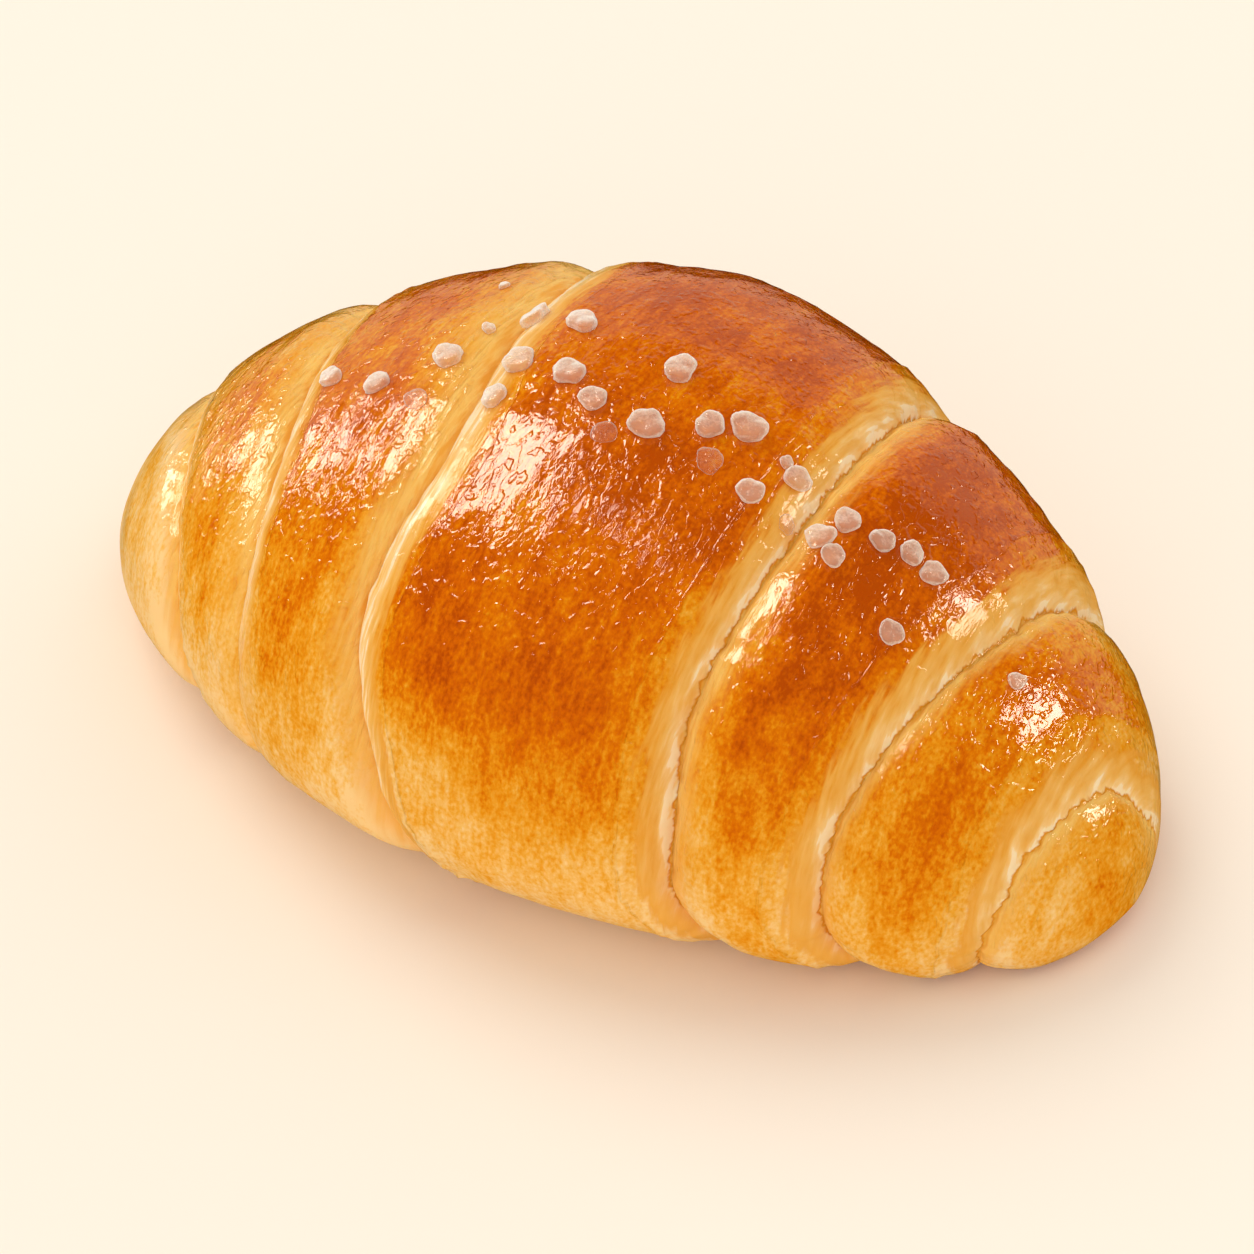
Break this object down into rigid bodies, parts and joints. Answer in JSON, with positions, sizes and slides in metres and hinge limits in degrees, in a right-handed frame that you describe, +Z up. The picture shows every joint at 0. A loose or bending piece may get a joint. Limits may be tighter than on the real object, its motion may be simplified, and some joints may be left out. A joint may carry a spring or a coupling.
{
  "type": "salt bread roll",
  "caption": "Rolled bread bun, thick in the middle and tapering to both ends, with overlapping glossy wraps, a flat sole and coarse salt crystals along its ridge.",
  "frame": {"origin": "centre of the roll's length and width, at the bottom of its flat sole", "axes": "+X along the roll from the end with the long creases towards the blunt end, +Y towards the back, +Z up through the salted ridge"},
  "size_m": [0.13, 0.0838, 0.0549],
  "materials": {
    "baked_crust": "egg-washed golden to deep orange-brown crust, glossy, finely crinkled, paler in the creases",
    "salt_crystal": "frosted translucent white coarse salt with worn edges"
  },
  "bodies": {
    "root": {"bread": "baked_crust", "salt_grain_01": "salt_crystal", "salt_grain_02": "salt_crystal", "salt_grain_03": "salt_crystal", "salt_grain_04": "salt_crystal", "salt_grain_05": "salt_crystal", "salt_grain_06": "salt_crystal", "salt_grain_07": "salt_crystal", "salt_grain_08": "salt_crystal", "salt_grain_09": "salt_crystal", "salt_grain_10": "salt_crystal", "salt_grain_11": "salt_crystal", "salt_grain_12": "salt_crystal", "salt_grain_13": "salt_crystal", "salt_grain_14": "salt_crystal", "salt_grain_15": "salt_crystal", "salt_grain_16": "salt_crystal", "salt_grain_17": "salt_crystal", "salt_grain_18": "salt_crystal", "salt_grain_19": "salt_crystal", "salt_grain_20": "salt_crystal", "salt_grain_21": "salt_crystal", "salt_grain_22": "salt_crystal", "salt_grain_23": "salt_crystal", "salt_grain_24": "salt_crystal", "salt_grain_25": "salt_crystal", "salt_grain_26": "salt_crystal", "salt_grain_27": "salt_crystal", "salt_grain_28": "salt_crystal", "salt_grain_29": "salt_crystal", "salt_grain_30": "salt_crystal"}
  },
  "joints": []
}
